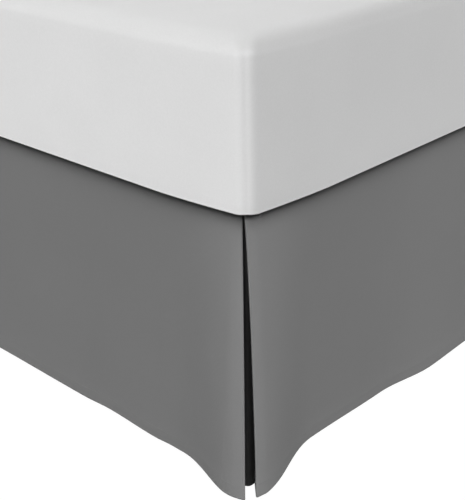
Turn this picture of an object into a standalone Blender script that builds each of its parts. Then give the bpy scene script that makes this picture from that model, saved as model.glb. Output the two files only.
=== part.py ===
"""A bed skirt on its bed, with the bed built plain.

The skirt is a flat deck under the mattress, a drop sewn to each of its two long edges and to its
foot edge, and a pleat inset behind the slit at each foot corner. The bed above and below it is a
mattress in a pale sheet, a cloth-covered base, and a steel frame on nine legs.

Metres, +Z up. The head of the bed is at +Y and the foot at -Y, and the origin is on the floor
under the middle of the whole object.
"""

import bpy
import bmesh
from collections import namedtuple
from math import ceil, cos, pi, radians, sin, tan

# Driving sizes
MATTRESS_WIDTH = 1.52
MATTRESS_LENGTH = 2.03
MATTRESS_THICKNESS = 0.217
BASE_THICKNESS = 0.2
BASE_TOP = 0.378
CLOTH = 0.0016
TOUCHING = 0.0003
SMOOTH_ANGLE = radians(34)

# The hem at the foot stands this far past the mattress, so the bed sits a little towards the head
FOOT_FLARE = 0.032
MIDDLE_Y = FOOT_FLARE / 2
SIDE_X = MATTRESS_WIDTH / 2
FOOT_Y = MIDDLE_Y - MATTRESS_LENGTH / 2

# Levels of the layers between base and mattress
LIP_Z = BASE_TOP + TOUCHING + CLOTH / 2
DECK_EDGE_Z = LIP_Z + CLOTH + TOUCHING
DECK_MIDDLE_Z = BASE_TOP + TOUCHING + CLOTH / 2
MATTRESS_BOTTOM = DECK_EDGE_Z + CLOTH / 2 + TOUCHING
DROP_TOP = BASE_TOP - 0.0001
HEM_Z = 0.004
DROP = DROP_TOP - HEM_Z

# Distances in from the mattress's faces
SKIRT_IN = 0.013
BASE_IN = 0.029
LIP_IN = 0.04
HEAD_IN = 0.015
DECK_IN = 0.0165

# Mattress: corners round and drawn in a little, top shoulder soft, top slightly domed.
# The top of the skirt and the deck are drawn in with it.
MATTRESS_CORNER = 0.03
CORNER_PULL = 0.012
CORNER_PULL_REACH = 0.15
CORNER_PULL_POWER = 1.5
SHOULDER_HEIGHT = 0.022
SHOULDER_REACH = 0.032
SHOULDER_TURN = radians(84)
SHOULDER_STEPS = 5
MATTRESS_EDGE = 0.004
MATTRESS_EDGE_STEPS = 3
MATTRESS_DOME = 0.005

# Rings of the dome: how far in from the shoulder, and the share of the dome's height reached there
DomeRing = namedtuple("DomeRing", "reach rise")
DOME_RINGS = (DomeRing(0.03, 0.4), DomeRing(0.12, 0.8), DomeRing(0.32, 1.0))

# Where the outline of mattress and deck has points, as distances from the end of a round corner
OUTLINE_PLACES = (0.04, 0.09, 0.16, 0.5)
OUTLINE_CORNER_STEPS = 6

# Half the width of the slope in the deck beside the lips
DECK_STEP = 0.006

# Base
BASE_CORNER = 0.04
BASE_EDGE = 0.008
BASE_EDGE_STEPS = 2
BASE_PLACES = (0.3,)
BASE_CORNER_STEPS = 5

# Steel frame
RAIL_LENGTH = 1.86
RAIL_FLANGE = 0.034
RAIL_STEEL = 0.003
CROSS_DEPTH = 0.026
CROSS_WIDTH = 0.036
CROSS_EDGE = 0.004
CROSS_PLACES = (-0.78, 0.0, 0.78)
LEG_RADIUS = 0.014
LEG_INSET = 0.075
FOOT_HEIGHT = 0.022
ROUND_SIDES = 12

# Rings of a plastic foot, from the floor up
FootRing = namedtuple("FootRing", "radius z")
FOOT_RINGS = (
    FootRing(0.024, 0.0),
    FootRing(0.026, 0.003),
    FootRing(0.026, 0.008),
    FootRing(0.018, FOOT_HEIGHT),
)

# Rows of cloth from top to hem, as shares of the drop
ROWS = (0.0, 0.12, 0.28, 0.46, 0.64, 0.82, 1.0)

# Columns of the folded end of a drop, as distances from the corner at the hem
PLEAT_COLUMNS = (0.006, 0.016, 0.03, 0.044, 0.058, 0.07, 0.082)
FRONT_STEP_FIRST = 0.018
FRONT_STEP_GROWTH = 1.14
FRONT_STEP_MOST = 0.05
FOLD_STEPS = 6
SHIFT_REACH = 0.2
SEAM_START = 0.07
INSET_FREE = 0.03
INSET_STEPS = 5

# Distance between the middles of two layers: sewn together at a seam, and where a pleat lies shut
SEWN_APART = CLOTH + TOUCHING
SHUT_APART = CLOTH + 0.0008

# A crest or trough of a hem: its distance from the foot corner, and how far it is outside the mattress
Wave = namedtuple("Wave", "along out")

# The fold at the end of a drop. The front curls in over its reach by curl degrees, and then turns back
# round a small radius. At the top it lies shut. At the hem it has turned by turn_hem degrees in all and
# runs straight in to the landing, and on from there along the inset.
Fold = namedtuple(
    "Fold",
    "along_top along_hem power reach_top reach_hem curl_top curl_hem turn_hem land_along land_out",
)
FOLD_RADIUS = 0.0012

# A pleat inset's round corner: the middle of its cloth on the two walls, and its radius
InsetCorner = namedtuple("InsetCorner", "both_top foot_hem side_hem radius_top radius_hem")

RIGHT_FOOT_FOLD = Fold(0.034, -0.008, 1.1, 0.005, 0.040, 38, 20, 146, 0.0220, 0.0041)
RIGHT_SIDE_FOLD = Fold(0.0240, -0.0085, 1.35, 0.006, 0.018, 38, 17, 135, 0.0095, -0.0032)
LEFT_FOOT_FOLD = Fold(0.0335, -0.0075, 1.15, 0.005, 0.038, 38, 20, 146, 0.0215, 0.0035)
LEFT_SIDE_FOLD = Fold(0.0235, -0.007, 1.25, 0.006, 0.018, 38, 18, 135, 0.01, -0.0035)

RIGHT_INSET = InsetCorner(-0.0300, 0.0020, -0.0052, 0.0032, 0.0072)
LEFT_INSET = InsetCorner(-0.0300, 0.0014, -0.0056, 0.0032, 0.0072)

# The foot hem is measured from the right corner, and its last waves run into the left one
FOOT_HEM = (
    Wave(0.002, 0.0335),
    Wave(0.126, 0.0044),
    Wave(0.150, 0.0042),
    Wave(0.178, 0.0060),
    Wave(0.286, 0.0019),
    Wave(0.339, 0.0045),
    Wave(0.557, 0.0030),
    Wave(0.690, 0.0085),
    Wave(0.820, -0.0015),
    Wave(0.960, 0.0070),
    Wave(1.090, 0.0005),
    Wave(1.230, 0.0050),
    Wave(1.340, 0.0020),
    Wave(1.513, 0.0262),
)

RIGHT_HEM = (
    Wave(0.000, 0.0214),
    Wave(0.141, -0.0148),
    Wave(0.300, -0.0108),
    Wave(0.413, 0.0041),
    Wave(0.540, 0.0015),
    Wave(0.660, -0.0065),
    Wave(0.800, 0.0060),
    Wave(0.930, -0.0040),
    Wave(1.090, 0.0075),
    Wave(1.230, -0.0035),
    Wave(1.400, 0.0050),
    Wave(1.560, -0.0060),
    Wave(1.720, 0.0065),
    Wave(1.870, -0.0020),
    Wave(2.015, 0.0030),
)

LEFT_HEM = (
    Wave(0.004, 0.0232),
    Wave(0.150, -0.0080),
    Wave(0.290, 0.0045),
    Wave(0.430, -0.0060),
    Wave(0.590, 0.0070),
    Wave(0.740, -0.0025),
    Wave(0.880, 0.0055),
    Wave(1.050, -0.0070),
    Wave(1.200, 0.0040),
    Wave(1.330, -0.0030),
    Wave(1.500, 0.0080),
    Wave(1.650, -0.0040),
    Wave(1.800, 0.0050),
    Wave(1.920, -0.0010),
    Wave(2.015, 0.0040),
)


def clear_scene():
    for old in list(bpy.data.objects):
        bpy.data.objects.remove(old, do_unlink=True)


def make_material(name, color, roughness, metallic=0.0):
    material = bpy.data.materials.new(name)
    material.use_nodes = True
    shader = material.node_tree.nodes["Principled BSDF"]
    shader.inputs["Base Color"].default_value = (*color, 1.0)
    shader.inputs["Roughness"].default_value = roughness
    shader.inputs["Metallic"].default_value = metallic
    return material


def add_object(name, verts, faces, material):
    mesh = bpy.data.meshes.new(name)
    mesh.from_pydata([tuple(v) for v in verts], [], [tuple(f) for f in faces])
    mesh.update()
    mesh.materials.append(material)
    mesh.shade_smooth()
    mesh.set_sharp_from_angle(angle=SMOOTH_ANGLE)
    part = bpy.data.objects.new(name, mesh)
    bpy.context.scene.collection.objects.link(part)
    return part


def mix(a, b, share):
    return a + (b - a) * share


def ease(low, high, value):
    """0 below low, 1 above high, and a smooth rise between them."""
    t = min(max((value - low) / (high - low), 0.0), 1.0)
    return t * t * (3.0 - 2.0 * t)


def wave_out(waves, along):
    """A hem's outer face, eased from each crest or trough to the next."""
    if along <= waves[0].along:
        return waves[0].out
    for here, there in zip(waves, waves[1:]):
        if along <= there.along:
            return mix(here.out, there.out, ease(here.along, there.along, along))
    return waves[-1].out


def corner_pull(away):
    """How far the outline is drawn in, at a distance along it from the middle of a round corner."""
    return CORNER_PULL * max(0.0, 1.0 - away / CORNER_PULL_REACH) ** CORNER_PULL_POWER


def top_out(along, run):
    """The middle of the cloth at the top of a drop, on a wall that is run long."""
    from_corner = min(along, run - along)
    away = max(0.0, from_corner - MATTRESS_CORNER * (1.0 - 0.25 * pi))
    return -(SKIRT_IN + CLOTH / 2 + corner_pull(away))


class DropEnd:
    """The folded end of one drop at a foot corner, in distances along and out of its wall."""

    def __init__(self, fold, waves, run):
        self.fold = fold
        self.waves = waves
        self.run = run

    def along(self, hem_along, share):
        """Where the cloth that is at hem_along at the hem lies at this share of the drop."""
        shift = (self.fold.along_top - self.fold.along_hem) * (1.0 - share ** self.fold.power)
        return hem_along + shift * (1.0 - ease(self.fold.along_hem, SHIFT_REACH, hem_along))

    def front(self, hem_along, share):
        top = top_out(self.along(hem_along, 0.0), self.run)
        hem = wave_out(self.waves, hem_along) - CLOTH / 2
        return mix(top, hem, share) - self.curl_depth(hem_along, share)

    def curl(self, share):
        return radians(mix(self.fold.curl_top, self.fold.curl_hem, share))

    def curl_depth(self, hem_along, share):
        """How far the front has curled in at this place near the fold."""
        reach = mix(self.fold.reach_top, self.fold.reach_hem, share)
        near = max(0.0, 1.0 - (hem_along - self.fold.along_hem) / reach)
        return 0.5 * reach * tan(self.curl(share)) * near * near

    def fold_point(self, share, turned):
        """A point on the fold, where turned goes from 0 at the front to 1 where the fold ends."""
        curl = self.curl(share)
        turn = mix(curl, mix(pi + curl, radians(self.fold.turn_hem), share), turned)
        tip = self.fold.along_hem
        along = self.along(tip, share) - FOLD_RADIUS * (sin(turn) - sin(curl))
        return along, self.front(tip, share) - FOLD_RADIUS * (cos(curl) - cos(turn))

    def back_at_hem(self, hem_along):
        end_along, end_out = self.fold_point(1.0, 1.0)
        run_in = min(1.0, (hem_along - end_along) / (self.fold.land_along - end_along))
        straight = mix(end_out, self.fold.land_out, run_in)
        return min(straight, self.front(hem_along, 1.0) - SHUT_APART)

    def back(self, hem_along, share):
        """The turned-back layer: shut against the front at the top, open at the hem."""
        top = self.front(hem_along, 0.0) - SHUT_APART
        return mix(top, self.back_at_hem(hem_along), share)

    def turned_back(self, share):
        """Points from the hidden seam to the tip of the fold and round to the front."""
        points = []
        for hem_along in reversed(PLEAT_COLUMNS):
            points.append((self.along(hem_along, share), self.back(hem_along, share)))
        for step in range(FOLD_STEPS, 0, -1):
            points.append(self.fold_point(share, step / FOLD_STEPS))
        return points


def level(share):
    return DROP_TOP - share * DROP


def front_columns(first, last):
    """Distances along a drop: close together near the corner fold, wider further on."""
    columns = [first, *PLEAT_COLUMNS]
    step = FRONT_STEP_FIRST
    while columns[-1] + 1.5 * step < last:
        columns.append(columns[-1] + step)
        step = min(step * FRONT_STEP_GROWTH, FRONT_STEP_MOST)
    rest = last - columns[-1]
    pieces = max(1, ceil(rest / FRONT_STEP_MOST))
    start = columns[-1]
    columns.extend(start + rest * (i + 1) / pieces for i in range(pieces))
    return columns


def sheet_object(name, rows, material):
    """A sheet of cloth from rows of points, where None leaves a place empty."""
    verts = []
    index = {}
    for r, row in enumerate(rows):
        for c, point in enumerate(row):
            if point is not None:
                index[r, c] = len(verts)
                verts.append(point)
    faces = []
    for r in range(len(rows) - 1):
        for c in range(len(rows[0]) - 1):
            cell = [(r, c), (r, c + 1), (r + 1, c + 1), (r + 1, c)]
            if all(corner in index for corner in cell):
                faces.append([index[corner] for corner in cell])
    part = add_object(name, verts, faces, material)
    solid = part.modifiers.new("Thickness", "SOLIDIFY")
    solid.thickness = CLOTH
    solid.offset = 0.0
    solid.use_even_offset = True
    return part


def right_side(along, out, z):
    return (SIDE_X + out, FOOT_Y + along, z)


def left_side(along, out, z):
    return (-SIDE_X - out, FOOT_Y + along, z)


def foot_from_right(along, out, z):
    return (SIDE_X - along, FOOT_Y - out, z)


def foot_from_left(along, out, z):
    return (-SIDE_X + along, FOOT_Y - out, z)


def lip_rows(tops, lip_from, place):
    """The turned-in top edge of a drop, between base and deck, for those columns that have it."""
    no_lip = [None] * (len(PLEAT_COLUMNS) + FOLD_STEPS)
    inner = list(no_lip)
    bend = list(no_lip)
    for along, out in tops:
        has_lip = along >= lip_from
        inner.append(place(along, -LIP_IN, LIP_Z) if has_lip else None)
        bend.append(place(along, out - CLOTH, LIP_Z) if has_lip else None)
    return [inner, bend]


def drop_rows(end, columns, lip_from, place):
    """Rows of one drop from its hidden seam round its fold and along its front."""
    tops = [(end.along(column, 0.0), end.front(column, 0.0)) for column in columns]
    rows = lip_rows(tops, lip_from, place)
    for share in ROWS:
        points = end.turned_back(share)
        points += [(end.along(column, share), end.front(column, share)) for column in columns]
        rows.append([place(along, out, level(share)) for along, out in points])
    return rows


def make_side_drop(name, end, place, material):
    columns = front_columns(end.fold.along_hem, MATTRESS_LENGTH - HEAD_IN)
    return sheet_object(name, drop_rows(end, columns, LIP_IN + 2 * TOUCHING, place), material)


def make_foot_drop(right, left, material):
    """Both ends are folded, and the front between them is one stretch of cloth."""
    half = MATTRESS_WIDTH / 2
    right_columns = front_columns(right.fold.along_hem, half)
    left_columns = front_columns(left.fold.along_hem, half)[:-1]
    right_rows = drop_rows(right, right_columns, 0.0, foot_from_right)
    left_rows = drop_rows(left, left_columns, 0.0, foot_from_left)
    rows = [right_row + left_row[::-1] for right_row, left_row in zip(right_rows, left_rows)]
    return sheet_object("foot_drop", rows, material)


def inset_side(end, own_hem, share):
    """One wall of an inset: its own line near the corner, and sewn to the drop's back layer at the seam."""
    points = []
    for column in reversed(PLEAT_COLUMNS):
        if column < INSET_FREE:
            continue
        sewn = end.back(column, share) - SEWN_APART
        own = mix(end.back(column, 0.0) - SEWN_APART, own_hem, share)
        points.append((end.along(column, share), mix(own, sewn, ease(INSET_FREE, SEAM_START, column))))
    return points


def make_inset(name, foot_end, side_end, corner, foot_place, side_place, material):
    """The piece behind a corner slit, sewn to the turned-back edges of the two drops."""
    rows = []
    for share in ROWS:
        z = level(share)
        foot_out = mix(corner.both_top, corner.foot_hem, share)
        side_out = mix(corner.both_top, corner.side_hem, share)
        radius = mix(corner.radius_top, corner.radius_hem, share)
        row = [foot_place(along, out, z) for along, out in inset_side(foot_end, corner.foot_hem, share)]
        for step in range(INSET_STEPS + 1):
            turn = 0.5 * pi * step / INSET_STEPS
            along = radius - side_out - radius * sin(turn)
            row.append(foot_place(along, foot_out - radius + radius * cos(turn), z))
        side_points = inset_side(side_end, corner.side_hem, share)
        row += [side_place(along, out, z) for along, out in reversed(side_points)]
        rows.append(row)
    return sheet_object(name, rows, material)


def round_corner_plan(half_x, half_y, radius, corner_steps, side_places):
    """Points round a rectangle with round corners, each with its outward normal and corner distance."""
    plan = []
    for quarter in range(4):
        angle = 0.5 * pi * quarter
        sign_x = 1 if quarter in (0, 3) else -1
        sign_y = 1 if quarter in (0, 1) else -1
        centre_x = sign_x * (half_x - radius)
        centre_y = sign_y * (half_y - radius)
        for step in range(corner_steps + 1):
            turn = angle + 0.5 * pi * step / corner_steps
            away = abs(step / corner_steps - 0.5) * 0.5 * pi * radius
            x = centre_x + radius * cos(turn)
            y = centre_y + radius * sin(turn)
            plan.append((x, y, cos(turn), sin(turn), away))
        run = 2 * (half_x - radius) if quarter in (0, 2) else 2 * (half_y - radius)
        normal = angle + 0.5 * pi
        normal_x = round(cos(normal))
        normal_y = round(sin(normal))
        start_x, start_y = plan[-1][:2]
        for place in side_places + tuple(run - p for p in reversed(side_places)):
            x = start_x - place * normal_y
            y = start_y + place * normal_x
            away = 0.25 * pi * radius + min(place, run - place)
            plan.append((x, y, normal_x, normal_y, away))
    return plan


def ring_bands(rings, count):
    """The faces between one ring of count points and the next."""
    faces = []
    for here in range(0, (rings - 1) * count, count):
        above = here + count
        for i in range(count):
            j = (i + 1) % count
            faces.append((here + i, here + j, above + j, above + i))
    return faces


def ring_solid(name, rings, material):
    """A closed solid from rings of points, bottom to top, with flat ends."""
    count = len(rings[0])
    faces = [tuple(reversed(range(count)))]
    faces += ring_bands(len(rings), count)
    faces.append(tuple(range((len(rings) - 1) * count, len(rings) * count)))
    return add_object(name, [point for ring in rings for point in ring], faces, material)


def outline_ring(plan, inset, z):
    """The outline of the mattress with its drawn-in corners, a distance further in."""
    half_y = MATTRESS_LENGTH / 2
    ring = []
    for x, y, normal_x, normal_y, away in plan:
        pull = corner_pull(away)
        scale_x = (SIDE_X - inset - pull * abs(normal_x)) / SIDE_X
        scale_y = (half_y - inset - pull * abs(normal_y)) / half_y
        ring.append((x * scale_x, MIDDLE_Y + y * scale_y, z))
    return ring


def outline_plan():
    half_y = MATTRESS_LENGTH / 2
    return round_corner_plan(SIDE_X, half_y, MATTRESS_CORNER, OUTLINE_CORNER_STEPS, OUTLINE_PLACES)


def make_mattress(material):
    """Round corners drawn in a little, a small bottom edge, a soft shoulder and a low dome."""
    top_z = MATTRESS_BOTTOM + MATTRESS_THICKNESS
    shoulder_z = top_z - MATTRESS_DOME - SHOULDER_HEIGHT
    profile = []
    for step in range(MATTRESS_EDGE_STEPS + 1):
        turn = 0.5 * pi * step / MATTRESS_EDGE_STEPS
        profile.append((MATTRESS_EDGE * (1 - sin(turn)), MATTRESS_BOTTOM + MATTRESS_EDGE * (1 - cos(turn))))
    profile.append((0.0, mix(profile[-1][1], shoulder_z, 0.5)))
    for step in range(SHOULDER_STEPS + 1):
        turn = SHOULDER_TURN * step / SHOULDER_STEPS
        profile.append((SHOULDER_REACH * (1 - cos(turn)), shoulder_z + SHOULDER_HEIGHT * sin(turn)))
    edge_in, edge_z = profile[-1]
    for ring in DOME_RINGS:
        profile.append((edge_in + ring.reach, mix(edge_z, top_z, ring.rise)))
    plan = outline_plan()
    rings = [outline_ring(plan, inset, z) for inset, z in profile]
    return ring_solid("mattress", rings, material)


def make_base(material):
    half_x = SIDE_X - BASE_IN
    half_y = MATTRESS_LENGTH / 2 - BASE_IN
    plan = round_corner_plan(half_x, half_y, BASE_CORNER, BASE_CORNER_STEPS, BASE_PLACES)
    bottom = BASE_TOP - BASE_THICKNESS
    turns = [0.5 * pi * step / BASE_EDGE_STEPS for step in range(BASE_EDGE_STEPS + 1)]
    profile = [(BASE_EDGE * (1 - sin(turn)), bottom + BASE_EDGE * (1 - cos(turn))) for turn in turns]
    profile += [(BASE_EDGE * (1 - cos(turn)), BASE_TOP - BASE_EDGE * (1 - sin(turn))) for turn in turns]
    rings = []
    for inset, z in profile:
        rings.append([(x - inset * nx, MIDDLE_Y + y - inset * ny, z) for x, y, nx, ny, _ in plan])
    return ring_solid("base", rings, material)


def make_deck(material):
    """A flat sheet on the base, a step higher round its edge where the drops' lips lie under it."""
    step_in = LIP_IN + DECK_STEP
    profile = ((DECK_IN, DECK_EDGE_Z), (step_in, DECK_EDGE_Z), (step_in + 2 * DECK_STEP, DECK_MIDDLE_Z))
    plan = outline_plan()
    rings = [outline_ring(plan, inset, z) for inset, z in profile]
    count = len(plan)
    faces = ring_bands(len(rings), count)
    faces.append(tuple(range((len(rings) - 1) * count, len(rings) * count)))
    part = add_object("deck", [point for ring in rings for point in ring], faces, material)
    solid = part.modifiers.new("Thickness", "SOLIDIFY")
    solid.thickness = CLOTH
    solid.offset = 0.0
    return part


def make_side_rail(name, side, material):
    """An angle section under the base's edge, its upright outside the base."""
    top = BASE_TOP - BASE_THICKNESS - TOUCHING
    outer = SIDE_X - BASE_IN + TOUCHING + RAIL_STEEL
    inner = outer - RAIL_FLANGE
    section = [
        (inner, top - RAIL_STEEL),
        (outer, top - RAIL_STEEL),
        (outer, top + RAIL_FLANGE - RAIL_STEEL),
        (outer - RAIL_STEEL, top + RAIL_FLANGE - RAIL_STEEL),
        (outer - RAIL_STEEL, top),
        (inner, top),
    ]
    if side < 0:
        section = [(-x, z) for x, z in reversed(section)]
    ends = (MIDDLE_Y - RAIL_LENGTH / 2, MIDDLE_Y + RAIL_LENGTH / 2)
    rings = [[(x, y, z) for x, z in section] for y in reversed(ends)]
    return ring_solid(name, rings, material)


def make_cross_rail(name, y, material):
    """A closed tube across the frame, under the side rails."""
    top = BASE_TOP - BASE_THICKNESS - RAIL_STEEL - 2 * TOUCHING
    half_length = SIDE_X - BASE_IN
    bm = bmesh.new()
    bmesh.ops.create_cube(bm, size=1.0)
    bmesh.ops.scale(bm, vec=(2 * half_length, CROSS_WIDTH, CROSS_DEPTH), verts=bm.verts)
    long_edges = [e for e in bm.edges if abs(e.verts[0].co.x - e.verts[1].co.x) > half_length]
    bmesh.ops.bevel(bm, geom=long_edges, offset=CROSS_EDGE, segments=2, profile=0.5, affect="EDGES")
    mesh = bpy.data.meshes.new(name)
    bm.to_mesh(mesh)
    bm.free()
    mesh.materials.append(material)
    rail = bpy.data.objects.new(name, mesh)
    rail.location = (0.0, MIDDLE_Y + y, top - CROSS_DEPTH / 2)
    bpy.context.scene.collection.objects.link(rail)


def circle(x, y, radius, z):
    turns = [2 * pi * i / ROUND_SIDES for i in range(ROUND_SIDES)]
    return [(x + radius * cos(turn), MIDDLE_Y + y + radius * sin(turn), z) for turn in turns]


def make_leg(name, x, y, steel, plastic):
    """A round steel leg under a cross rail, pushed into a plastic foot."""
    top = BASE_TOP - BASE_THICKNESS - RAIL_STEEL - CROSS_DEPTH - 3 * TOUCHING
    bottom = FOOT_HEIGHT + TOUCHING
    ring_solid(f"leg_{name}", [circle(x, y, LEG_RADIUS, z) for z in (bottom, top)], steel)
    ring_solid(f"foot_{name}", [circle(x, y, ring.radius, ring.z) for ring in FOOT_RINGS], plastic)


def main():
    clear_scene()
    grey_cloth = make_material("skirt_cloth", (0.17, 0.17, 0.17), 0.9)
    deck_cloth = make_material("deck_cloth", (0.55, 0.55, 0.54), 0.9)
    sheet_cloth = make_material("sheet_cloth", (0.78, 0.78, 0.78), 0.85)
    ticking = make_material("ticking", (0.62, 0.6, 0.57), 0.85)
    steel = make_material("steel", (0.03, 0.03, 0.032), 0.45, 0.6)
    plastic = make_material("plastic", (0.02, 0.02, 0.02), 0.5)

    make_mattress(sheet_cloth)
    make_base(ticking)
    make_deck(deck_cloth)

    foot_hem_backwards = [Wave(MATTRESS_WIDTH - wave.along, wave.out) for wave in reversed(FOOT_HEM)]
    right_foot = DropEnd(RIGHT_FOOT_FOLD, FOOT_HEM, MATTRESS_WIDTH)
    left_foot = DropEnd(LEFT_FOOT_FOLD, foot_hem_backwards, MATTRESS_WIDTH)
    right_long = DropEnd(RIGHT_SIDE_FOLD, RIGHT_HEM, MATTRESS_LENGTH)
    left_long = DropEnd(LEFT_SIDE_FOLD, LEFT_HEM, MATTRESS_LENGTH)
    make_foot_drop(right_foot, left_foot, grey_cloth)
    make_side_drop("right_drop", right_long, right_side, grey_cloth)
    make_side_drop("left_drop", left_long, left_side, grey_cloth)
    make_inset("right_inset", right_foot, right_long, RIGHT_INSET, foot_from_right, right_side, grey_cloth)
    make_inset("left_inset", left_foot, left_long, LEFT_INSET, foot_from_left, left_side, grey_cloth)

    make_side_rail("right_rail", 1, steel)
    make_side_rail("left_rail", -1, steel)
    leg_x = SIDE_X - LEG_INSET
    for row, y in zip(("foot", "middle", "head"), CROSS_PLACES):
        make_cross_rail(f"cross_{row}", y, steel)
        for column, x in (("left", -leg_x), ("centre", 0.0), ("right", leg_x)):
            make_leg(f"{row}_{column}", x, y, steel, plastic)


main()
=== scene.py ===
"""The looks of a bed skirt on its bed.

The skirt's sheets hang on the same folds as their solids, with finer meshes, hems and stitches. The
mattress, the base, the legs and their feet are finer meshes too. The steel rails keep their solids
and get a powder coat.
"""

from collections import namedtuple
from math import ceil, cos, pi, radians, sin, tan

import bpy
from mathutils import Matrix, Vector, noise


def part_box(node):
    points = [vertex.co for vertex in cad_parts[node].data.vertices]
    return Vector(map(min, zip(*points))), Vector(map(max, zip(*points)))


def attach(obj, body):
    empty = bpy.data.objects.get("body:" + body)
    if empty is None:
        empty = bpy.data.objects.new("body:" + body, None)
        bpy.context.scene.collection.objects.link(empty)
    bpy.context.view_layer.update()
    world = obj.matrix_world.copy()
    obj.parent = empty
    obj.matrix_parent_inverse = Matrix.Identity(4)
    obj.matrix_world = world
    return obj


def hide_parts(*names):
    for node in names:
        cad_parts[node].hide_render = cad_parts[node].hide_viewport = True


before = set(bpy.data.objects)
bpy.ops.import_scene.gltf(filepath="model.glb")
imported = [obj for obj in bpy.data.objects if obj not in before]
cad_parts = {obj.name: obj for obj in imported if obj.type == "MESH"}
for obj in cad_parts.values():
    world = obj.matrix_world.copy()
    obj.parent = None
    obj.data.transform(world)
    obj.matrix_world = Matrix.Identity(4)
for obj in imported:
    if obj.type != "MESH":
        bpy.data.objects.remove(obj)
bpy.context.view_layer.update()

# Sizes read from the frame
MATTRESS_LOW, MATTRESS_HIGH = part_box("mattress")
BASE_LOW, BASE_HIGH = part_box("base")
SIDE_X = MATTRESS_HIGH[0]
FOOT_Y = MATTRESS_LOW[1]
HEAD_Y = MATTRESS_HIGH[1]
MIDDLE_Y = (FOOT_Y + HEAD_Y) / 2
HALF_LENGTH = (HEAD_Y - FOOT_Y) / 2
MATTRESS_WIDTH = 2 * SIDE_X
MATTRESS_LENGTH = 2 * HALF_LENGTH
MATTRESS_BOTTOM = MATTRESS_LOW[2]
MATTRESS_TOP = MATTRESS_HIGH[2]
BASE_TOP = BASE_HIGH[2]
BASE_IN = SIDE_X - BASE_HIGH[0]

# The solids' cloth is SOLID_CLOTH thick, and here it is CLOTH and at a hem HEM_CLOTH thick
SOLID_CLOTH = 0.0016
CLOTH = 0.0011
HEM_CLOTH = 0.0014
HEM_HEIGHT = 0.02
TOUCHING = 0.0003
SMOOTH_ANGLE = radians(40)

# Levels of the layers between base and mattress
LIP_Z = BASE_TOP + TOUCHING + SOLID_CLOTH / 2
DECK_EDGE_Z = LIP_Z + SOLID_CLOTH + TOUCHING
DECK_MIDDLE_Z = LIP_Z
DROP_TOP = BASE_TOP - 0.0001
HEM_Z = 0.004
DROP = DROP_TOP - HEM_Z

# Distances in from the mattress's faces
SKIRT_IN = 0.013
LIP_IN = 0.04
HEAD_IN = 0.015
DECK_IN = 0.0165
DECK_STEP = 0.006

# Mattress: corners round and drawn in a little, soft shoulder, low dome
MATTRESS_CORNER = 0.03
CORNER_PULL = 0.012
CORNER_PULL_REACH = 0.15
CORNER_PULL_POWER = 1.5
SHOULDER_HEIGHT = 0.022
SHOULDER_REACH = 0.032
SHOULDER_TURN = radians(84)
MATTRESS_EDGE = 0.004
MATTRESS_DOME = 0.005

# Rows of the fine cloth: even ones down to the hem band, and then these heights above the hem's edge
DROP_ROWS = 30
HEM_BAND = 0.022
HEM_ROWS = (HEM_BAND, 0.019, 0.0165, 0.010, 0.004, 0.0012, 0.0)

# Columns of the fine cloth
PLEAT_END = 0.082
PLEAT_STEP = 0.004
FRONT_STEP_FIRST = 0.005
FRONT_STEP_GROWTH = 1.06
FRONT_STEP_MOST = 0.016
FOLD_STEPS = 12
SHIFT_REACH = 0.2
SEAM_START = 0.07
INSET_FREE = 0.03
INSET_STEPS = 10
SEWN_APART = SOLID_CLOTH + TOUCHING
SHUT_GAP = 0.0008
SHUT_APART = SOLID_CLOTH + SHUT_GAP

# A crest or trough of a hem: its distance from the foot corner, and how far it is outside the mattress
Wave = namedtuple("Wave", "along out")

# The fold at the end of a drop. The front curls in over its reach by curl degrees, and then turns back
# round a small radius. At the top it lies shut. At the hem it has turned by turn_hem degrees in all and
# runs straight in to the landing, and on from there along the inset.
Fold = namedtuple(
    "Fold",
    "along_top along_hem power reach_top reach_hem curl_top curl_hem turn_hem land_along land_out",
)
FOLD_RADIUS = 0.0012

# A pleat inset's round corner: the middle of its cloth on the two walls, and its radius
InsetCorner = namedtuple("InsetCorner", "both_top foot_hem side_hem radius_top radius_hem")

RIGHT_FOOT_FOLD = Fold(0.034, -0.008, 1.1, 0.005, 0.040, 38, 20, 146, 0.0220, 0.0041)
RIGHT_SIDE_FOLD = Fold(0.0240, -0.0085, 1.35, 0.006, 0.018, 38, 17, 135, 0.0095, -0.0032)
LEFT_FOOT_FOLD = Fold(0.0335, -0.0075, 1.15, 0.005, 0.038, 38, 20, 146, 0.0215, 0.0035)
LEFT_SIDE_FOLD = Fold(0.0235, -0.007, 1.25, 0.006, 0.018, 38, 18, 135, 0.01, -0.0035)

RIGHT_INSET = InsetCorner(-0.0300, 0.0020, -0.0052, 0.0032, 0.0072)
LEFT_INSET = InsetCorner(-0.0300, 0.0014, -0.0056, 0.0032, 0.0072)

# The foot hem is measured from the right corner, and its last waves run into the left one
FOOT_HEM = (
    Wave(0.002, 0.0335),
    Wave(0.126, 0.0044),
    Wave(0.150, 0.0042),
    Wave(0.178, 0.0060),
    Wave(0.286, 0.0019),
    Wave(0.339, 0.0045),
    Wave(0.557, 0.0030),
    Wave(0.690, 0.0085),
    Wave(0.820, -0.0015),
    Wave(0.960, 0.0070),
    Wave(1.090, 0.0005),
    Wave(1.230, 0.0050),
    Wave(1.340, 0.0020),
    Wave(1.513, 0.0262),
)

RIGHT_HEM = (
    Wave(0.000, 0.0214),
    Wave(0.141, -0.0148),
    Wave(0.300, -0.0108),
    Wave(0.413, 0.0041),
    Wave(0.540, 0.0015),
    Wave(0.660, -0.0065),
    Wave(0.800, 0.0060),
    Wave(0.930, -0.0040),
    Wave(1.090, 0.0075),
    Wave(1.230, -0.0035),
    Wave(1.400, 0.0050),
    Wave(1.560, -0.0060),
    Wave(1.720, 0.0065),
    Wave(1.870, -0.0020),
    Wave(2.015, 0.0030),
)

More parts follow.
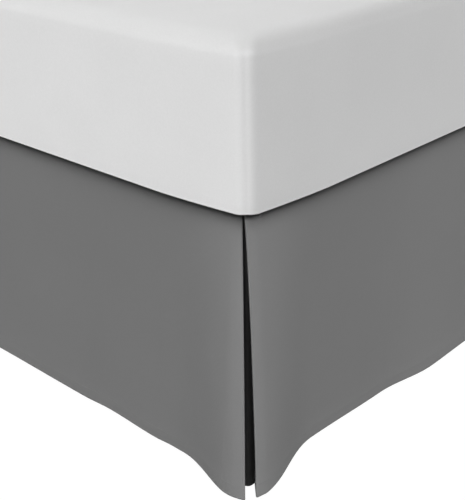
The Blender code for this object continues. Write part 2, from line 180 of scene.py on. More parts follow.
LEFT_HEM = (
    Wave(0.004, 0.0232),
    Wave(0.150, -0.0080),
    Wave(0.290, 0.0045),
    Wave(0.430, -0.0060),
    Wave(0.590, 0.0070),
    Wave(0.740, -0.0025),
    Wave(0.880, 0.0055),
    Wave(1.050, -0.0070),
    Wave(1.200, 0.0040),
    Wave(1.330, -0.0030),
    Wave(1.500, 0.0080),
    Wave(1.650, -0.0040),
    Wave(1.800, 0.0050),
    Wave(1.920, -0.0010),
    Wave(2.015, 0.0040),
)


def mix(a, b, share):
    return a + (b - a) * share


def ease(low, high, value):
    """0 below low, 1 above high, and a smooth rise between them."""
    t = min(max((value - low) / (high - low), 0.0), 1.0)
    return t * t * (3.0 - 2.0 * t)


def wave_out(waves, along):
    """A hem's outer face, eased from each crest or trough to the next."""
    if along <= waves[0].along:
        return waves[0].out
    for here, there in zip(waves, waves[1:]):
        if along <= there.along:
            return mix(here.out, there.out, ease(here.along, there.along, along))
    return waves[-1].out


def corner_pull(away):
    """How far the outline is drawn in, at a distance along it from the middle of a round corner."""
    return CORNER_PULL * max(0.0, 1.0 - away / CORNER_PULL_REACH) ** CORNER_PULL_POWER


def top_out(along, run):
    """The middle of the cloth at the top of a drop, on a wall that is run long."""
    from_corner = min(along, run - along)
    away = max(0.0, from_corner - MATTRESS_CORNER * (1.0 - 0.25 * pi))
    return -(SKIRT_IN + SOLID_CLOTH / 2 + corner_pull(away))


def level(share):
    return DROP_TOP - share * DROP


class DropEnd:
    """The folded end of one drop at a foot corner, in distances along and out of its wall."""

    def __init__(self, fold, waves, run):
        self.fold = fold
        self.waves = waves
        self.run = run

    def along(self, hem_along, share):
        """Where the cloth that is at hem_along at the hem lies at this share of the drop."""
        shift = (self.fold.along_top - self.fold.along_hem) * (1.0 - share ** self.fold.power)
        return hem_along + shift * (1.0 - ease(self.fold.along_hem, SHIFT_REACH, hem_along))

    def front(self, hem_along, share):
        top = top_out(self.along(hem_along, 0.0), self.run)
        hem = wave_out(self.waves, hem_along) - SOLID_CLOTH / 2
        return mix(top, hem, share) - self.curl_depth(hem_along, share)

    def curl(self, share):
        return radians(mix(self.fold.curl_top, self.fold.curl_hem, share))

    def curl_depth(self, hem_along, share):
        """How far the front has curled in at this place near the fold."""
        reach = mix(self.fold.reach_top, self.fold.reach_hem, share)
        near = max(0.0, 1.0 - (hem_along - self.fold.along_hem) / reach)
        return 0.5 * reach * tan(self.curl(share)) * near * near

    def fold_point(self, share, turned):
        """A point on the fold, where turned goes from 0 at the front to 1 where the fold ends."""
        curl = self.curl(share)
        turn = mix(curl, mix(pi + curl, radians(self.fold.turn_hem), share), turned)
        tip = self.fold.along_hem
        along = self.along(tip, share) - FOLD_RADIUS * (sin(turn) - sin(curl))
        return along, self.front(tip, share) - FOLD_RADIUS * (cos(curl) - cos(turn))

    def back_at_hem(self, hem_along):
        end_along, end_out = self.fold_point(1.0, 1.0)
        run_in = min(1.0, (hem_along - end_along) / (self.fold.land_along - end_along))
        straight = mix(end_out, self.fold.land_out, run_in)
        return min(straight, self.front(hem_along, 1.0) - SHUT_APART)

    def back(self, hem_along, share):
        """The turned-back layer: shut against the front at the top, open at the hem."""
        top = self.front(hem_along, 0.0) - SHUT_APART
        return mix(top, self.back_at_hem(hem_along), share)

    def turned_back(self, share):
        """Points from the hidden seam to the tip of the fold and round to the front."""
        points = []
        for hem_along in reversed(pleat_columns()):
            points.append((self.along(hem_along, share), self.back(hem_along, share)))
        for step in range(FOLD_STEPS, 0, -1):
            points.append(self.fold_point(share, step / FOLD_STEPS))
        return points


def pleat_columns():
    steps = round(PLEAT_END / PLEAT_STEP)
    return [mix(PLEAT_STEP, PLEAT_END, step / steps) for step in range(steps + 1)]


def front_columns(first, last):
    """Distances along a drop: close together near the corner fold, wider further on."""
    columns = [first, *pleat_columns()]
    step = FRONT_STEP_FIRST
    while columns[-1] + 1.5 * step < last:
        columns.append(columns[-1] + step)
        step = min(step * FRONT_STEP_GROWTH, FRONT_STEP_MOST)
    rest = last - columns[-1]
    pieces = max(1, ceil(rest / FRONT_STEP_MOST))
    start = columns[-1]
    columns.extend(start + rest * (i + 1) / pieces for i in range(pieces))
    return columns


def drop_shares():
    """Shares of the drop for the rows of cloth: even ones down to the hem band, and those of the band."""
    band = 1.0 - HEM_BAND / DROP
    shares = [step * band / DROP_ROWS for step in range(DROP_ROWS)]
    return shares + [1.0 - height / DROP for height in HEM_ROWS]


def right_side(along, out, z):
    return (SIDE_X + out, FOOT_Y + along, z)


def left_side(along, out, z):
    return (-SIDE_X - out, FOOT_Y + along, z)


def foot_from_right(along, out, z):
    return (SIDE_X - along, FOOT_Y - out, z)


def foot_from_left(along, out, z):
    return (-SIDE_X + along, FOOT_Y - out, z)


def add_object(name, verts, faces, material):
    """A new smooth piece that rides with the bed and takes the material it is given."""
    mesh = bpy.data.meshes.new(name)
    mesh.from_pydata([tuple(v) for v in verts], [], [tuple(f) for f in faces])
    mesh.update()
    mesh.materials.append(material)
    mesh.shade_smooth()
    mesh.set_sharp_from_angle(angle=SMOOTH_ANGLE)
    piece = bpy.data.objects.new(name, mesh)
    bpy.context.scene.collection.objects.link(piece)
    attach(piece, "root")
    return piece


def sheet_object(name, rows, material):
    """A sheet of cloth from rows of points, where None leaves a place empty. Its hem is thicker."""
    verts = []
    index = {}
    for r, row in enumerate(rows):
        for c, point in enumerate(row):
            if point is not None:
                index[r, c] = len(verts)
                verts.append(point)
    faces = []
    for r in range(len(rows) - 1):
        for c in range(len(rows[0]) - 1):
            cell = [(r, c), (r, c + 1), (r + 1, c + 1), (r + 1, c)]
            if all(corner in index for corner in cell):
                faces.append([index[corner] for corner in cell])
    piece = add_object(name, verts, faces, material)
    hem = piece.vertex_groups.new(name="hem")
    hem.add([i for i, point in enumerate(verts) if point[2] < HEM_Z + HEM_HEIGHT], 1.0, "REPLACE")
    solid = piece.modifiers.new("Thickness", "SOLIDIFY")
    solid.thickness = HEM_CLOTH
    solid.offset = 0.0
    solid.use_even_offset = True
    solid.vertex_group = "hem"
    solid.thickness_vertex_group = CLOTH / HEM_CLOTH
    return piece


def lip_rows(tops, lip_from, place):
    """The turned-in top edge of a drop, between base and deck, for those columns that have it."""
    no_lip = [None] * (len(pleat_columns()) + FOLD_STEPS)
    inner = list(no_lip)
    bend = list(no_lip)
    for along, out in tops:
        has_lip = along >= lip_from
        inner.append(place(along, -LIP_IN, LIP_Z) if has_lip else None)
        bend.append(place(along, out - SOLID_CLOTH, LIP_Z) if has_lip else None)
    return [inner, bend]


def drop_rows(end, columns, lip_from, place):
    """Rows of one drop from its hidden seam round its fold and along its front."""
    tops = [(end.along(column, 0.0), end.front(column, 0.0)) for column in columns]
    rows = lip_rows(tops, lip_from, place)
    for share in drop_shares():
        points = end.turned_back(share)
        points += [(end.along(column, share), end.front(column, share)) for column in columns]
        rows.append([place(along, out, level(share)) for along, out in points])
    return rows


# Hem stitches: ridges whose ends slope down over a share of their length, and their faces by corner
STITCH_LENGTH = 0.0026
STITCH_PITCH = 0.0033
STITCH_WIDTH = 0.0004
STITCH_HIGH = 0.00012
STITCH_SUNK = 0.0001
STITCH_UP = 0.0175
STITCH_SLOPE = 0.2
STITCH_FACES = ((0, 1, 5, 4), (1, 2, 5), (2, 3, 4, 5), (3, 0, 4), (3, 2, 1, 0))


def turns_out(place):
    """True on a wall where a face drawn first along and then up faces out."""
    start = Vector(place(0.0, 0.0, 0.0))
    along = Vector(place(1.0, 0.0, 0.0)) - start
    out = Vector(place(0.0, 1.0, 0.0)) - start
    return along.cross(Vector((0.0, 0.0, 1.0))).dot(out) > 0.0


def make_stitches(name, runs, material):
    """Rows of small ridges of thread on the outer face of a drop, a little above its hem."""
    verts = []
    faces = []
    share = 1.0 - STITCH_UP / DROP
    z = level(share)
    for end, first, last, place in runs:
        for number in range(int((last - first) / STITCH_PITCH)):
            start = first + number * STITCH_PITCH
            base = len(verts)
            for along, rise, up in (
                (start, -STITCH_SUNK, -STITCH_WIDTH / 2),
                (start + STITCH_LENGTH, -STITCH_SUNK, -STITCH_WIDTH / 2),
                (start + STITCH_LENGTH, -STITCH_SUNK, STITCH_WIDTH / 2),
                (start, -STITCH_SUNK, STITCH_WIDTH / 2),
                (start + STITCH_SLOPE * STITCH_LENGTH, STITCH_HIGH, 0.0),
                (start + (1 - STITCH_SLOPE) * STITCH_LENGTH, STITCH_HIGH, 0.0),
            ):
                out = end.front(along, share) + HEM_CLOTH / 2 + rise
                verts.append(place(end.along(along, share), out, z + up))
            for face in STITCH_FACES:
                corners = [base + i for i in face]
                faces.append(corners if turns_out(place) else corners[::-1])
    return add_object(name, verts, faces, material)


def make_side_drop(node, end, place, material, thread):
    """A side drop with its hem stitches. Its lip starts clear of the foot drop's."""
    last = MATTRESS_LENGTH - HEAD_IN
    columns = front_columns(end.fold.along_hem, last)
    rows = drop_rows(end, columns, LIP_IN + 2 * TOUCHING, place)
    drop = sheet_object(node + "_cloth", rows, material)
    runs = [(end, end.fold.along_hem, last - STITCH_PITCH, place)]
    stitches = make_stitches(node + "_cloth_stitches", runs, thread)
    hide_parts(node)


def make_foot_drop(right, left, material, thread):
    """Both ends are folded, and the front between them is one stretch of cloth."""
    half = MATTRESS_WIDTH / 2
    right_columns = front_columns(right.fold.along_hem, half)
    left_columns = front_columns(left.fold.along_hem, half)[:-1]
    right_rows = drop_rows(right, right_columns, 0.0, foot_from_right)
    left_rows = drop_rows(left, left_columns, 0.0, foot_from_left)
    rows = [right_row + left_row[::-1] for right_row, left_row in zip(right_rows, left_rows)]
    drop = sheet_object("foot_drop_cloth", rows, material)
    runs = [
        (right, right.fold.along_hem, half, foot_from_right),
        (left, left.fold.along_hem, half, foot_from_left),
    ]
    stitches = make_stitches("foot_drop_stitches", runs, thread)
    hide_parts("foot_drop")


def inset_side(end, own_hem, share):
    """One wall of an inset: its own line near the corner, and sewn to the drop's back layer at the seam."""
    points = []
    for column in reversed(pleat_columns()):
        if column < INSET_FREE:
            continue
        sewn = end.back(column, share) - SEWN_APART
        own = mix(end.back(column, 0.0) - SEWN_APART, own_hem, share)
        points.append((end.along(column, share), mix(own, sewn, ease(INSET_FREE, SEAM_START, column))))
    return points


def make_inset(name, foot_end, side_end, corner, foot_place, side_place, material):
    """The piece behind a corner slit, sewn to the turned-back edges of the two drops."""
    rows = []
    for share in drop_shares():
        z = level(share)
        foot_out = mix(corner.both_top, corner.foot_hem, share)
        side_out = mix(corner.both_top, corner.side_hem, share)
        radius = mix(corner.radius_top, corner.radius_hem, share)
        row = [foot_place(along, out, z) for along, out in inset_side(foot_end, corner.foot_hem, share)]
        for step in range(INSET_STEPS + 1):
            turn = 0.5 * pi * step / INSET_STEPS
            along = radius - side_out - radius * sin(turn)
            row.append(foot_place(along, foot_out - radius + radius * cos(turn), z))
        side_points = inset_side(side_end, corner.side_hem, share)
        row += [side_place(along, out, z) for along, out in reversed(side_points)]
        rows.append(row)
    inset = sheet_object(name + "_cloth", rows, material)
    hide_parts(name)


def round_corner_plan(half_x, half_y, radius, corner_steps, spacing):
    """Points round a rectangle with round corners, each with its outward normal and corner distance."""
    plan = []
    for quarter in range(4):
        angle = 0.5 * pi * quarter
        sign_x = 1 if quarter in (0, 3) else -1
        sign_y = 1 if quarter in (0, 1) else -1
        centre_x = sign_x * (half_x - radius)
        centre_y = sign_y * (half_y - radius)
        for step in range(corner_steps + 1):
            turn = angle + 0.5 * pi * step / corner_steps
            away = abs(step / corner_steps - 0.5) * 0.5 * pi * radius
            x = centre_x + radius * cos(turn)
            y = centre_y + radius * sin(turn)
            plan.append((x, y, cos(turn), sin(turn), away))
        run = 2 * (half_x - radius) if quarter in (0, 2) else 2 * (half_y - radius)
        normal = angle + 0.5 * pi
        normal_x = round(cos(normal))
        normal_y = round(sin(normal))
        start_x, start_y = plan[-1][:2]
        pieces = ceil(run / spacing)
        for piece in range(1, pieces):
            place = run * piece / pieces
            x = start_x - place * normal_y
            y = start_y + place * normal_x
            away = 0.25 * pi * radius + min(place, run - place)
            plan.append((x, y, normal_x, normal_y, away))
    return plan


def outline_ring(plan, inset, z):
    """The outline of the mattress with its drawn-in corners, a distance further in."""
    ring = []
    for x, y, normal_x, normal_y, away in plan:
        pull = corner_pull(away)
        scale_x = (SIDE_X - inset - pull * abs(normal_x)) / SIDE_X
        scale_y = (HALF_LENGTH - inset - pull * abs(normal_y)) / HALF_LENGTH
        ring.append((x * scale_x, MIDDLE_Y + y * scale_y, z))
    return ring


def ring_bands(rings, count):
    """The faces between one ring of count points and the next."""
    faces = []
    for here in range(0, (rings - 1) * count, count):
        above = here + count
        for i in range(count):
            j = (i + 1) % count
            faces.append((here + i, here + j, above + j, above + i))
    return faces


def last_ring(rings, count):
    """The face that fills the last of the rings."""
    return tuple(range((rings - 1) * count, rings * count))


def ring_solid(name, rings, material):
    """A closed solid from rings of points, bottom to top, with flat ends."""
    count = len(rings[0])
    faces = [tuple(reversed(range(count)))]
    faces += ring_bands(len(rings), count)
    faces.append(last_ring(len(rings), count))
    return add_object(name, [point for ring in rings for point in ring], faces, material)


# Steps of each small arc in a profile
EDGE_STEPS = 6


def edge_turns():
    return [0.5 * pi * step / EDGE_STEPS for step in range(EDGE_STEPS + 1)]


def bottom_edge(radius, bottom):
    """A profile's round bottom edge, as distances in and levels, from the underside up to the wall."""
    return [(radius * (1 - sin(turn)), bottom + radius * (1 - cos(turn))) for turn in edge_turns()]


# Mattress and deck. The mattress's faint relief grows from nothing over RELIEF_START from its bottom
OUTLINE_SPACING = 0.012
OUTLINE_CORNER_STEPS = 14
WALL_ROWS = 14
SHOULDER_STEPS = 12
RELIEF_HEIGHT = 0.0007
RELIEF_SCALE = 5.0
RELIEF_START = 0.06
DECK_INSETS = (0.3, 0.6)
DECK_SPACING = 0.03

# Rings of the dome: how far in from the shoulder, and the share of the dome's height reached there
DomeRing = namedtuple("DomeRing", "reach rise")
DOME_RINGS = (DomeRing(0.03, 0.4), DomeRing(0.12, 0.8), DomeRing(0.32, 1.0))
DOME_STEPS = 8
TOP_INSETS = (0.42, 0.5, 0.58, 0.66)


def make_mattress(material):
    """Round corners drawn in a little, a small bottom edge, a soft shoulder and a low dome."""
    shoulder_z = MATTRESS_TOP - MATTRESS_DOME - SHOULDER_HEIGHT
    profile = bottom_edge(MATTRESS_EDGE, MATTRESS_BOTTOM)
    edge_top = profile[-1][1]
    for row in range(1, WALL_ROWS):
        profile.append((0.0, mix(edge_top, shoulder_z, row / WALL_ROWS)))
    for step in range(SHOULDER_STEPS + 1):
        turn = SHOULDER_TURN * step / SHOULDER_STEPS
        profile.append((SHOULDER_REACH * (1 - cos(turn)), shoulder_z + SHOULDER_HEIGHT * sin(turn)))
    edge_in, edge_z = profile[-1]
    last = DomeRing(0.0, 0.0)
    for ring in DOME_RINGS:
        for step in range(1, DOME_STEPS + 1):
            share = step / DOME_STEPS
            reach = mix(last.reach, ring.reach, share)
            profile.append((edge_in + reach, mix(edge_z, MATTRESS_TOP, mix(last.rise, ring.rise, share))))
        last = ring
    profile += [(inset, MATTRESS_TOP) for inset in TOP_INSETS]
    plan = round_corner_plan(SIDE_X, HALF_LENGTH, MATTRESS_CORNER, OUTLINE_CORNER_STEPS, OUTLINE_SPACING)
    rings = []
    for inset, z in profile:
        ring = []
        for x, y, level_z in outline_ring(plan, inset, z):
            swell = RELIEF_HEIGHT * ease(MATTRESS_BOTTOM, MATTRESS_BOTTOM + RELIEF_START, z)
            bump = swell * noise.noise(Vector((x, y, level_z)) * RELIEF_SCALE)
            ring.append((x * (1 + bump / SIDE_X), y, level_z + bump))
        rings.append(ring)
    mattress = ring_solid("mattress_sheet", rings, material)
    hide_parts("mattress")


def make_deck(material):
    """A flat sheet on the base, a step higher round its edge where the drops' lips lie under it."""
    step_in = LIP_IN + DECK_STEP
    profile = [
        (DECK_IN, DECK_EDGE_Z),
        (step_in, DECK_EDGE_Z),
        (step_in + DECK_STEP, mix(DECK_EDGE_Z, DECK_MIDDLE_Z, 0.5)),
        (step_in + 2 * DECK_STEP, DECK_MIDDLE_Z),
    ]
    profile += [(inset, DECK_MIDDLE_Z) for inset in DECK_INSETS]
    plan = round_corner_plan(SIDE_X, HALF_LENGTH, MATTRESS_CORNER, OUTLINE_CORNER_STEPS, DECK_SPACING)
    rings = [outline_ring(plan, inset, z) for inset, z in profile]
    points = [point for ring in rings for point in ring]
    faces = [*ring_bands(len(rings), len(plan)), last_ring(len(rings), len(plan))]
    deck = add_object("deck_cloth", points, faces, material)
    solid = deck.modifiers.new("Thickness", "SOLIDIFY")
    solid.thickness = SOLID_CLOTH
    solid.offset = 0.0
    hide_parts("deck")


# Base. A shallow groove lies along both sides of its tape, and below the tape it runs out from near
# to far, which are in tape radii from the tape's middle
BASE_CORNER = 0.04
BASE_EDGE = 0.008
BASE_CORNER_STEPS = 10
BASE_SPACING = 0.05
BASE_TOP_IN = 0.0005
TAPE_RADIUS = 0.0035
TAPE_OUT = 0.0012
TAPE_DOWN = 0.012
GROOVE_DEPTH = 0.0008
GROOVE_NEAR = 1.15
GROOVE_FAR = 2.2


def make_base(material):
    """A cloth-covered box with a rounded tape round its top edge."""
    half_x = SIDE_X - BASE_IN
    half_y = HALF_LENGTH - BASE_IN
    profile = bottom_edge(BASE_EDGE, BASE_LOW[2])
    tape_z = BASE_TOP - TAPE_DOWN
    profile.append((0.0, tape_z - GROOVE_FAR * TAPE_RADIUS))
    profile.append((GROOVE_DEPTH, tape_z - GROOVE_NEAR * TAPE_RADIUS))
    for step in range(EDGE_STEPS + 1):
        turn = pi * (step / EDGE_STEPS - 0.5)
        profile.append((-TAPE_OUT * cos(turn), tape_z + TAPE_RADIUS * sin(turn)))
    profile.append((GROOVE_DEPTH, tape_z + GROOVE_NEAR * TAPE_RADIUS))
    for turn in edge_turns():
        inset = BASE_TOP_IN + BASE_EDGE * (1 - cos(turn))
        profile.append((inset, BASE_TOP - BASE_EDGE * (1 - sin(turn))))
    plan = round_corner_plan(half_x, half_y, BASE_CORNER, BASE_CORNER_STEPS, BASE_SPACING)
    rings = []
    for inset, z in profile:
        rings.append([(x - inset * nx, MIDDLE_Y + y - inset * ny, z) for x, y, nx, ny, _ in plan])
    base = ring_solid("base_cover", rings, material)
    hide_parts("base")


# Legs and feet
ROUND_SIDES = 40
LEG_EDGE = 0.0006
WELD = 0.003

# Rings of a weld at the top of a leg, out from the tube and down from the rail, in shares of WELD
WeldRing = namedtuple("WeldRing", "out down")
WELD_RINGS = (WeldRing(0.0, 1.0), WeldRing(0.3, 0.5), WeldRing(0.8, 0.15), WeldRing(1.0, 0.0))

# Rings of a plastic foot, from the floor up, as shares of its greatest radius and its height
FootRing = namedtuple("FootRing", "radius z")
FOOT_RINGS = (
    FootRing(0.86, 0.0),
    FootRing(0.93, 0.03),
    FootRing(0.98, 0.09),
    FootRing(1.0, 0.18),
    FootRing(1.0, 0.36),
    FootRing(0.97, 0.44),
    FootRing(0.86, 0.62),
    FootRing(0.74, 0.84),
    FootRing(0.70, 0.95),
    FootRing(0.66, 1.0),
)


def circle(x, y, radius, z, sides=ROUND_SIDES):
    turns = [2 * pi * i / sides for i in range(sides)]
    return [(x + radius * cos(turn), y + radius * sin(turn), z) for turn in turns]


def make_leg(node, material):
    """A round tube with a small weld where it meets the cross rail."""
    low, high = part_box(node)
    x, y = (low[0] + high[0]) / 2, (low[1] + high[1]) / 2
    radius = (high[0] - low[0]) / 2
    rings = [circle(x, y, radius - LEG_EDGE, low[2]), circle(x, y, radius, low[2] + LEG_EDGE)]
    rings += [circle(x, y, radius + ring.out * WELD, high[2] - ring.down * WELD) for ring in WELD_RINGS]
    leg = ring_solid(node + "_tube", rings, material)
    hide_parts(node)


def make_foot(node, material):
    """A plastic foot, widest low down and drawn in towards the leg."""
    low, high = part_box(node)
    x, y = (low[0] + high[0]) / 2, (low[1] + high[1]) / 2
    radius = (high[0] - low[0]) / 2
    height = high[2] - low[2]
    rings = [circle(x, y, radius * ring.radius, low[2] + height * ring.z) for ring in FOOT_RINGS]
    foot = ring_solid(node + "_cup", rings, material)
    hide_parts(node)


class Nodes:
    """A material's nodes, added one after another."""

    def __init__(self, name):
        self.material = bpy.data.materials.new(name)
        self.material.use_nodes = True
        self.tree = self.material.node_tree
        self.shader = self.tree.nodes["Principled BSDF"]
        self.place = self.add("ShaderNodeTexCoord").outputs["Object"]

    def add(self, kind, inputs=None, links=None, **settings):
        node = self.tree.nodes.new(kind)
        for key, value in settings.items():
            setattr(node, key, value)
        for key, value in (inputs or {}).items():
            node.inputs[key].default_value = value
        for key, source in (links or {}).items():
            self.tree.links.new(source, node.inputs[key])
        return node

    def math(self, operation, first, second=None):
        """A Math node whose inputs are sockets or plain numbers."""
        node = self.add("ShaderNodeMath", operation=operation)
        for slot, value in enumerate((first, second)):
            if value is None:
                continue
            if isinstance(value, (int, float)):
                node.inputs[slot].default_value = value
            else:
                self.tree.links.new(value, node.inputs[slot])
        return node.outputs[0]

    def noise(self, scale, detail=2.0, roughness=0.5):
        inputs = {"Scale": scale, "Detail": detail, "Roughness": roughness}
        return self.add("ShaderNodeTexNoise", inputs, {"Vector": self.place}).outputs["Fac"]

    def threads(self, pitch):
        """Raised threads both ways, on any face that is square to an axis."""
        parts = self.add("ShaderNodeSeparateXYZ", links={0: self.place}).outputs
        waves = [self.math("SINE", self.math("MULTIPLY", part, 2 * pi / pitch)) for part in parts]
        return self.math("ADD", self.math("ADD", waves[0], waves[1]), waves[2])

    def tint(self, color, amount, factor):
        """A colour that is darker and lighter by amount, as the factor goes from 0 to 1."""
        dark = (*(part * (1 - amount) for part in color), 1.0)
        light = (*(part * (1 + amount) for part in color), 1.0)
        node = self.add("ShaderNodeMix", data_type="RGBA")
        node.inputs["A"].default_value = dark
        node.inputs["B"].default_value = light
        self.tree.links.new(factor, node.inputs["Factor"])
        return node.outputs["Result"]

    def blend(self, below, color, factor):
        """The colour laid over what is below it, as far as the factor says."""
        node = self.add("ShaderNodeMix", data_type="RGBA")
        node.inputs["B"].default_value = (*color, 1.0)
        self.tree.links.new(below, node.inputs["A"])
        self.tree.links.new(factor, node.inputs["Factor"])
        return node.outputs["Result"]

    def bump(self, height, strength, distance, below=None):
        node = self.add("ShaderNodeBump", {"Strength": strength, "Distance": distance}, {"Height": height})
        if below is not None:
            self.tree.links.new(below, node.inputs["Normal"])
        return node.outputs["Normal"]

    def finish(self, color, normal, **fixed):
        self.tree.links.new(color, self.shader.inputs["Base Color"])
        self.tree.links.new(normal, self.shader.inputs["Normal"])
        for name, value in fixed.items():
            self.shader.inputs[name.replace("_", " ")].default_value = value
        return self.material


SKIRT_GREY = (0.165, 0.165, 0.165)
THREAD_GREY = (0.12, 0.12, 0.12)
DECK_GREY = (0.55, 0.55, 0.54)
SHEET_WHITE = (0.7, 0.7, 0.7)
# The next colour is a painted highlight along the mattress's bottom edge, not a colour of the sheet
RIM_HIGHLIGHT_WHITE = (0.84, 0.84, 0.84)
TICKING_WHITE = (0.62, 0.6, 0.57)
STEEL_BLACK = (0.03, 0.03, 0.032)
PLASTIC_BLACK = (0.02, 0.02, 0.02)

# A weave: the pitch of its threads, how high they stand, and how deep the nap is
Weave = namedtuple("Weave", "pitch height nap")
SKIRT_WEAVE = Weave(0.0009, 0.00005, 0.0001)
THREAD_WEAVE = Weave(0.0004, 0.00003, 0.00003)
DECK_WEAVE = Weave(0.0008, 0.00005, 0.00005)
SHEET_WEAVE = Weave(0.0007, 0.00003, 0.00005)
TICKING_WEAVE = Weave(0.0011, 0.00008, 0.0001)

# Cloth: the scales of its clouds and fibres, how far they tint it, and the strengths of its bumps
CLOUD_SCALE = 7.0
FIBRE_SCALE = 420.0
CLOTH_TINT = 0.08
THREAD_BUMP = 0.25
NAP_BUMP = 0.2

# The painted highlight round the mattress's bottom edge, a paler band that stands in for light caught by the
# edge: its full height, and the fade above it
HIGHLIGHT_RIM_HEIGHT = 0.0035
HIGHLIGHT_RIM_FADE = 0.0015

# Scales and heights of the steel's orange peel and dust, and of the plastic's grain and clouds
PEEL_SCALE = 900.0
PEEL_HEIGHT = 0.0002
DUST_SCALE = 14.0
GRAIN_SCALE = 1400.0
GRAIN_HEIGHT = 0.00015
PLASTIC_CLOUD_SCALE = 30.0


def woven(nodes, color, weave):
    """Colour and normal of plain woven cloth: threads, a short nap and a faint cloudiness."""
    clouds = nodes.noise(CLOUD_SCALE, detail=3.0)
    fibres = nodes.noise(FIBRE_SCALE, roughness=0.6)
    factor = nodes.math("ADD", nodes.math("MULTIPLY", clouds, 0.5), nodes.math("MULTIPLY", fibres, 0.5))
    normal = nodes.bump(nodes.threads(weave.pitch), THREAD_BUMP, weave.height)
    normal = nodes.bump(fibres, NAP_BUMP, weave.nap, normal)
    return nodes.tint(color, CLOTH_TINT, factor), normal


def cloth_material(name, color, weave, **fixed):
    """Plain woven cloth of one colour."""
    nodes = Nodes(name)
    tinted, normal = woven(nodes, color, weave)
    return nodes.finish(tinted, normal, **fixed)


def sheet_material():
    """The fitted sheet's smooth cloth, with a painted highlight: a paler band along the mattress's bottom
    edge.
    """
    nodes = Nodes("sheet_white")
    tinted, normal = woven(nodes, SHEET_WHITE, SHEET_WEAVE)
    height = nodes.add("ShaderNodeSeparateXYZ", links={0: nodes.place}).outputs["Z"]
    highlight_top = MATTRESS_BOTTOM + HIGHLIGHT_RIM_HEIGHT
    band = {"From Min": highlight_top, "From Max": highlight_top + HIGHLIGHT_RIM_FADE, "To Min": 1.0, "To Max": 0.0}
    # Painted highlight: the sheet is paler in a band at the bottom edge, standing in for light on that edge
    painted_highlight = nodes.add("ShaderNodeMapRange", band, {"Value": height}).outputs["Result"]
    color = nodes.blend(tinted, RIM_HIGHLIGHT_WHITE, painted_highlight)
    return nodes.finish(color, normal, Roughness=0.8, Specular_IOR_Level=0.2)


def steel_material():
    """Black powder coat with its fine orange peel."""
    nodes = Nodes("powder_coat")
    peel = nodes.noise(PEEL_SCALE)
    dust = nodes.noise(DUST_SCALE, detail=4.0)
    normal = nodes.bump(peel, 0.35, PEEL_HEIGHT)
    return nodes.finish(nodes.tint(STEEL_BLACK, 0.25, dust), normal, Metallic=0.2, Roughness=0.48)


def plastic_material():
    """Black moulded plastic with a fine grain."""
    nodes = Nodes("foot_plastic")
    grain = nodes.noise(GRAIN_SCALE)
    normal = nodes.bump(grain, 0.4, GRAIN_HEIGHT)
    clouds = nodes.noise(PLASTIC_CLOUD_SCALE)
    return nodes.finish(nodes.tint(PLASTIC_BLACK, 0.2, clouds), normal, Roughness=0.55)


skirt_cloth = cloth_material("skirt_cloth", SKIRT_GREY, SKIRT_WEAVE, Roughness=0.55, Sheen_Weight=0.05)
skirt_thread = cloth_material("skirt_thread", THREAD_GREY, THREAD_WEAVE, Roughness=0.6)
deck_cloth = cloth_material("deck_plain", DECK_GREY, DECK_WEAVE, Roughness=0.9)
sheet_cloth = sheet_material()
ticking = cloth_material("ticking_plain", TICKING_WHITE, TICKING_WEAVE, Roughness=0.85)
steel = steel_material()
plastic = plastic_material()

foot_hem_backwards = [Wave(MATTRESS_WIDTH - wave.along, wave.out) for wave in reversed(FOOT_HEM)]
right_foot = DropEnd(RIGHT_FOOT_FOLD, FOOT_HEM, MATTRESS_WIDTH)
left_foot = DropEnd(LEFT_FOOT_FOLD, foot_hem_backwards, MATTRESS_WIDTH)
right_long = DropEnd(RIGHT_SIDE_FOLD, RIGHT_HEM, MATTRESS_LENGTH)
left_long = DropEnd(LEFT_SIDE_FOLD, LEFT_HEM, MATTRESS_LENGTH)
make_foot_drop(right_foot, left_foot, skirt_cloth, skirt_thread)
make_side_drop("right_drop", right_long, right_side, skirt_cloth, skirt_thread)
make_side_drop("left_drop", left_long, left_side, skirt_cloth, skirt_thread)
make_inset("right_inset", right_foot, right_long, RIGHT_INSET, foot_from_right, right_side, skirt_cloth)
make_inset("left_inset", left_foot, left_long, LEFT_INSET, foot_from_left, left_side, skirt_cloth)

make_mattress(sheet_cloth)
make_deck(deck_cloth)
make_base(ticking)
for row in ("foot", "middle", "head"):
    for column in ("left", "centre", "right"):
        make_leg(f"leg_{row}_{column}", steel)
        make_foot(f"foot_{row}_{column}", plastic)
for node in ("right_rail", "left_rail", "cross_foot", "cross_middle", "cross_head"):
    rail = bpy.data.objects[node]
    for slot in rail.material_slots:
        slot.material = steel


# Camera, fitted to the photograph. It stands out from the mattress's right foot corner along X and Y
FOCAL_PIXELS = 1041.4
PHOTO_HEIGHT = 500
SENSOR_HEIGHT = 36.0
PITCH = radians(24.85)
HEADING = radians(133.7)
ROLL = radians(1.23)
CAMERA_FROM_CORNER = (0.7539, -0.8164)
CAMERA_HEIGHT = 0.8645


def make_camera():
    forward = Vector((cos(HEADING) * cos(PITCH), sin(HEADING) * cos(PITCH), -sin(PITCH)))
    level_right = forward.cross(Vector((0, 0, 1))).normalized()
    level_down = forward.cross(level_right)
    right = cos(ROLL) * level_right + sin(ROLL) * level_down
    down = cos(ROLL) * level_down - sin(ROLL) * level_right
    data = bpy.data.cameras.new("camera")
    data.sensor_fit = "VERTICAL"
    data.sensor_height = SENSOR_HEIGHT
    data.lens = FOCAL_PIXELS * SENSOR_HEIGHT / PHOTO_HEIGHT
    camera = bpy.data.objects.new("camera", data)
    turn = Matrix((right, -down, -forward)).transposed().to_4x4()
    turn.translation = Vector((SIDE_X + CAMERA_FROM_CORNER[0], FOOT_Y + CAMERA_FROM_CORNER[1], CAMERA_HEIGHT))
    camera.matrix_world = turn
    bpy.context.scene.collection.objects.link(camera)
    bpy.context.scene.camera = camera


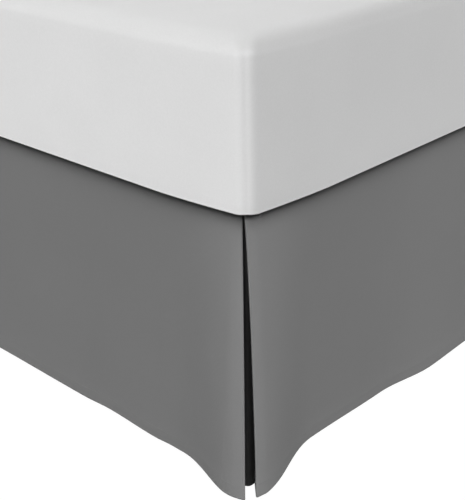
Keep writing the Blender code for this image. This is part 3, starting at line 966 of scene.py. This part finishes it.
# Floor and wall
FLOOR_RADIUS = 20.0
FLOOR_DOWN = 0.0005
WALL_SIDES = 32
WALL_HEIGHT = 30.0
FLOOR_GLOW = 1.0
STUDIO_GREY = (0.08, 0.08, 0.08, 1.0)
WHITE = (1.0, 1.0, 1.0, 1.0)


def make_studio():
    """A plain white floor with a round wall. They glow, so that they stay white, and light nothing."""
    nodes = Nodes("studio_white")
    nodes.shader.inputs["Base Color"].default_value = STUDIO_GREY
    nodes.shader.inputs["Roughness"].default_value = 0.9
    nodes.shader.inputs["Specular IOR Level"].default_value = 0.0
    nodes.shader.inputs["Emission Color"].default_value = WHITE
    nodes.shader.inputs["Emission Strength"].default_value = FLOOR_GLOW
    points = []
    for z in (-FLOOR_DOWN, WALL_HEIGHT):
        points += circle(0.0, 0.0, FLOOR_RADIUS, z, WALL_SIDES)
    mesh = bpy.data.meshes.new("studio")
    mesh.from_pydata(points, [], [tuple(range(WALL_SIDES)), *ring_bands(2, WALL_SIDES)])
    mesh.materials.append(nodes.material)
    studio = bpy.data.objects.new("studio", mesh)
    bpy.context.scene.collection.objects.link(studio)
    studio.visible_diffuse = False
    studio.visible_glossy = False
    studio.visible_shadow = False


# A wide soft light: the compass angle it comes from (0 is +X, 90 is +Y), how high it stands, its
# strength and width, and which pieces it is kept to
Light = namedtuple("Light", "name angle height strength width pieces")
LIGHTS = (
    Light("skirt_light", -45, 50, 2.75, 40, "skirt"),
    Light("skirt_foot_fill", -120, 50, 2.35, 40, "skirt"),
    Light("skirt_side_fill", 20, 50, 2.3, 40, "skirt"),
    Light("mattress_foot_light", -110, 16, 2.92, 40, "mattress"),
    Light("mattress_side_light", 0, 16, 2.1, 40, "mattress"),
    Light("back_light", 135, 35, 2.05, 40, None),
)
LIT_PIECES = {
    "skirt": (
        "foot_drop_cloth", "right_drop_cloth", "left_drop_cloth",
        "foot_drop_stitches", "right_drop_cloth_stitches", "left_drop_cloth_stitches",
    ),
    "mattress": ("mattress_sheet",),
}
LAMP_AWAY = 3.0
WORLD_LIGHT = 0.1


def make_lights():
    """A faint even light, three soft ones kept to the skirt, two to the mattress, and one from behind."""
    world = bpy.data.worlds.new("studio")
    bpy.context.scene.world = world
    world.use_nodes = True
    background = world.node_tree.nodes["Background"]
    background.inputs["Color"].default_value = WHITE
    background.inputs["Strength"].default_value = WORLD_LIGHT
    for light in LIGHTS:
        data = bpy.data.lights.new(light.name, "SUN")
        data.angle = radians(light.width)
        data.energy = light.strength
        lamp = bpy.data.objects.new(light.name, data)
        turn, height = radians(light.angle), radians(light.height)
        towards = Vector((cos(turn) * cos(height), sin(turn) * cos(height), sin(height)))
        lamp.location = LAMP_AWAY * towards
        lamp.rotation_euler = (-towards).to_track_quat("-Z", "Y").to_euler()
        bpy.context.scene.collection.objects.link(lamp)
        if light.pieces is None:
            continue
        lit = bpy.data.collections.new(light.name)
        for name in LIT_PIECES[light.pieces]:
            lit.objects.link(bpy.data.objects[name])
        lamp.light_linking.receiver_collection = lit


make_camera()
make_studio()
make_lights()
bpy.context.scene.view_settings.view_transform = "Standard"
